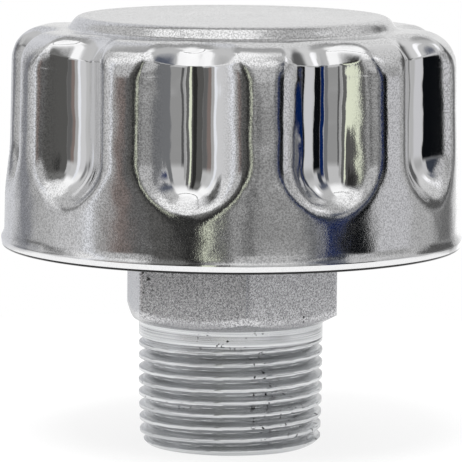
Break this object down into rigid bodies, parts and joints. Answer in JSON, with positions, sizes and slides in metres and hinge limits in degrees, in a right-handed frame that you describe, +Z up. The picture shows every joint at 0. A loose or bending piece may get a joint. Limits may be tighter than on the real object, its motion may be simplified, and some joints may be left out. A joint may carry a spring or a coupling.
{
  "type": "hydraulic filler breather",
  "caption": "Fluted round chrome cap over a pleated air filter and pan, on a hexagon stem with a male taper pipe thread, to vent a hydraulic tank and close its filler hole.",
  "frame": {"origin": "centre of the threaded stem's lower end face, on which the part stands", "axes": "+Z up the centre line, from the thread to the cap's plateau; two of the hexagon's corners lie on the Y axis, and one of the cap's flutes is centred on +X"},
  "size_m": [0.0666, 0.0666, 0.0621],
  "materials": {
    "chromed_steel": "polished",
    "zinc_plated_bar": "satin",
    "zinc_plated_sheet": "satin",
    "plain_steel": "satin",
    "filter_paper": "matte",
    "black_rubber": "matte"
  },
  "bodies": {
    "root": {"cap_shell": "chromed_steel", "stud_plate": "plain_steel", "cap_stud": "plain_steel", "upper_gasket": "black_rubber", "element_top_disc": "zinc_plated_sheet", "outer_screen": "zinc_plated_sheet", "pleated_media": "filter_paper", "inner_tube": "zinc_plated_sheet", "element_bottom_disc": "zinc_plated_sheet", "lower_gasket": "black_rubber", "base_pan": "zinc_plated_sheet", "threaded_stem": "zinc_plated_bar", "bridge_strap": "zinc_plated_sheet", "lock_washer": "plain_steel", "stud_nut": "plain_steel"}
  },
  "joints": []
}
